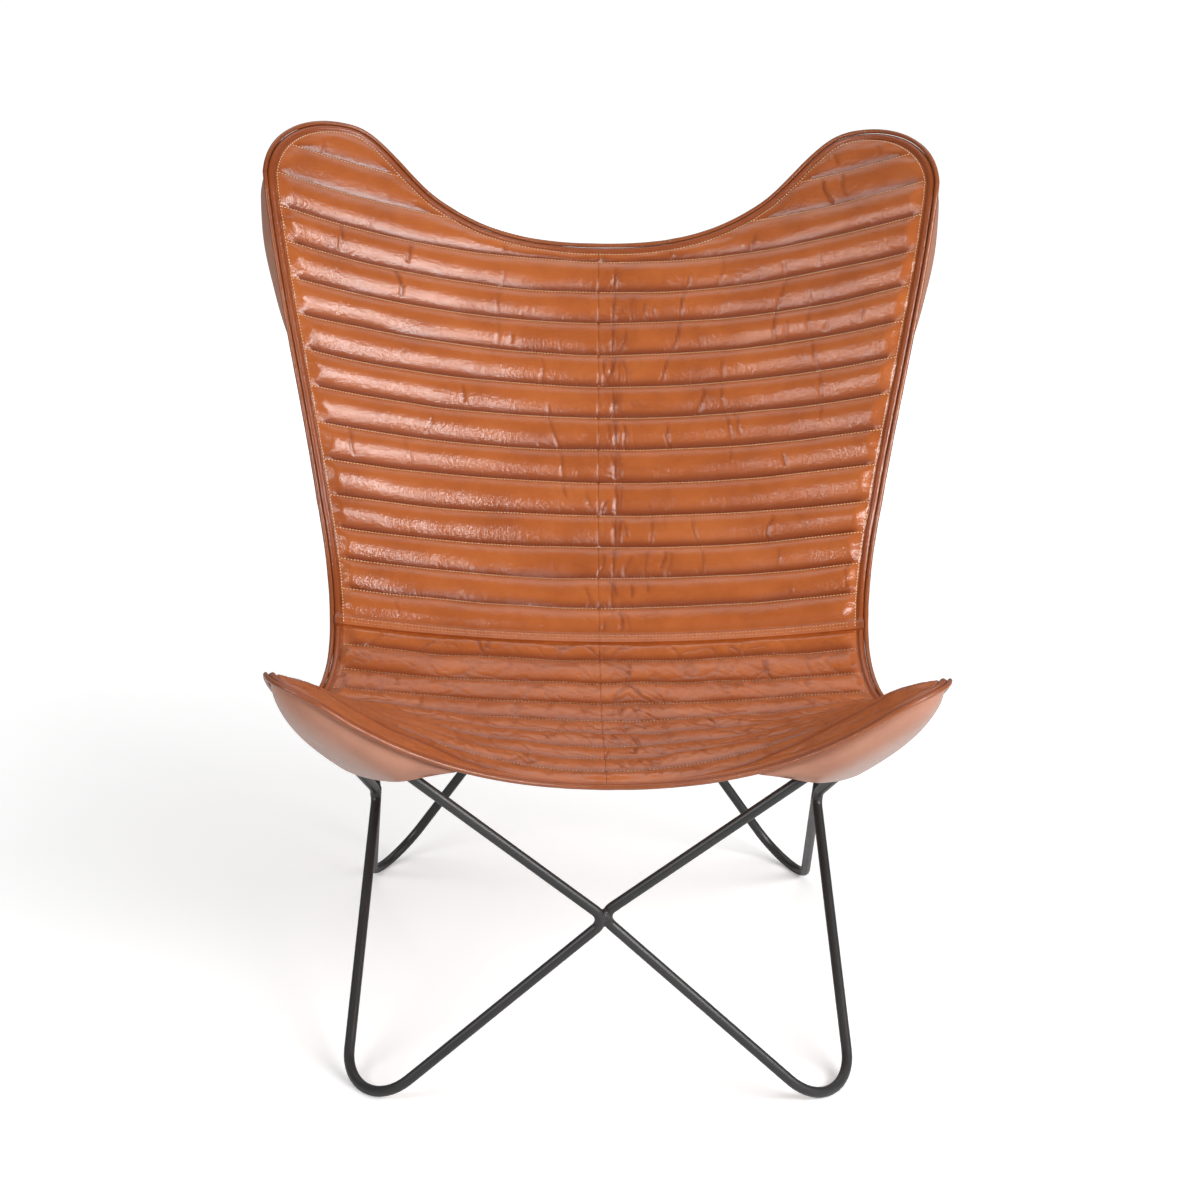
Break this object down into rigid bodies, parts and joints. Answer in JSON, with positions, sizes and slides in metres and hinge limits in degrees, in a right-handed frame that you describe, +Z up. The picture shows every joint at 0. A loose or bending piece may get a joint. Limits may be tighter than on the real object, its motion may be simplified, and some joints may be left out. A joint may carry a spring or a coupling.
{
  "type": "butterfly sling chair",
  "caption": "Low lounge chair: a quilted tan leather sling hung by corner pockets on the tips of a welded frame of bent black steel rod.",
  "frame": {"origin": "on the floor under the middle of the chair's bounding box", "axes": "+Z up, the sitter faces -Y, +X to the right as seen from the front"},
  "size_m": [0.7595, 0.7138, 0.8913],
  "materials": {
    "frame_steel": "satin black powder coat",
    "weld_steel": "satin black powder coat over a weld bead",
    "face_leather": "glossy waxed tan leather",
    "wadding": "matt polyester wadding",
    "lining_leather": "semi-matt tan leather",
    "pocket_leather": "semi-matt tan leather",
    "piping_leather": "glossy tan leather roll"
  },
  "bodies": {
    "root": {"front_left_loop": "frame_steel", "front_right_loop": "frame_steel", "rear_left_loop": "frame_steel", "rear_right_loop": "frame_steel", "front_weld": "weld_steel", "rear_weld": "weld_steel", "left_weld": "weld_steel", "right_weld": "weld_steel", "back_left_face": "face_leather", "back_right_face": "face_leather", "seat_left_face": "face_leather", "seat_right_face": "face_leather", "back_wadding": "wadding", "seat_wadding": "wadding", "back_lining": "lining_leather", "seat_lining": "lining_leather", "back_left_pocket": "pocket_leather", "back_right_pocket": "pocket_leather", "front_left_pocket": "pocket_leather", "front_right_pocket": "pocket_leather", "top_piping": "piping_leather", "left_piping": "piping_leather", "right_piping": "piping_leather", "front_piping": "piping_leather"}
  },
  "joints": []
}
